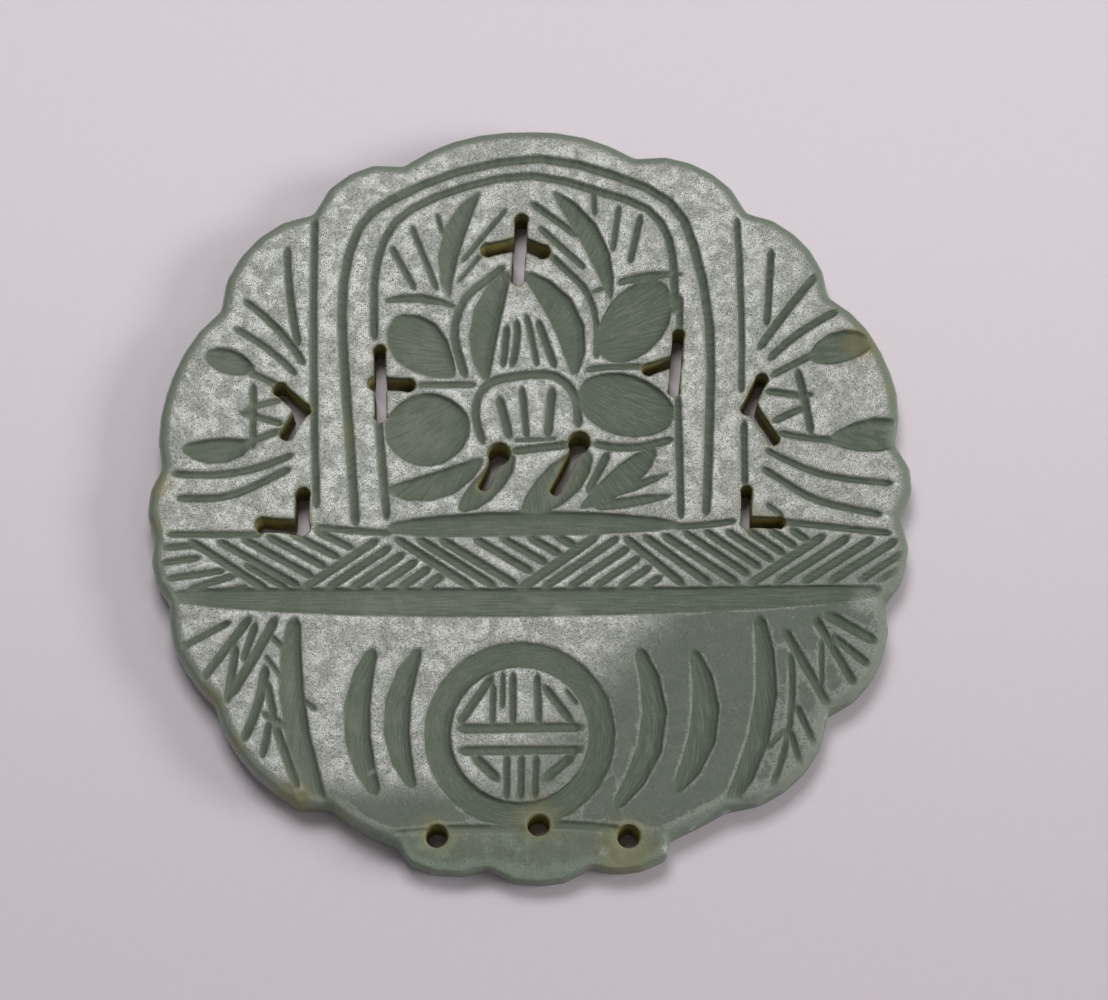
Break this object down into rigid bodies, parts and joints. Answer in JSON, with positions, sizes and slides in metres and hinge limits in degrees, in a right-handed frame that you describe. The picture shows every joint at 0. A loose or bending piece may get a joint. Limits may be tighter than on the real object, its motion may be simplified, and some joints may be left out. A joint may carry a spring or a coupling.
{
  "type": "jade pendant",
  "caption": "Flat scalloped jade pendant with openwork, cord holes, a cut flower under an arch, a hatched band and a round disc of strokes.",
  "frame": {"origin": "middle of the plate's footprint, on the back face", "axes": "+Z out of the carved face, +Y towards the top of the ornament, +X to the viewer's right"},
  "size_m": [0.0586, 0.06, 0.0034],
  "materials": {
    "jade": "worn polish on a finely pitted ground, matte ground-out cuts"
  },
  "bodies": {
    "root": {"jade_pendant": "jade"}
  },
  "joints": []
}
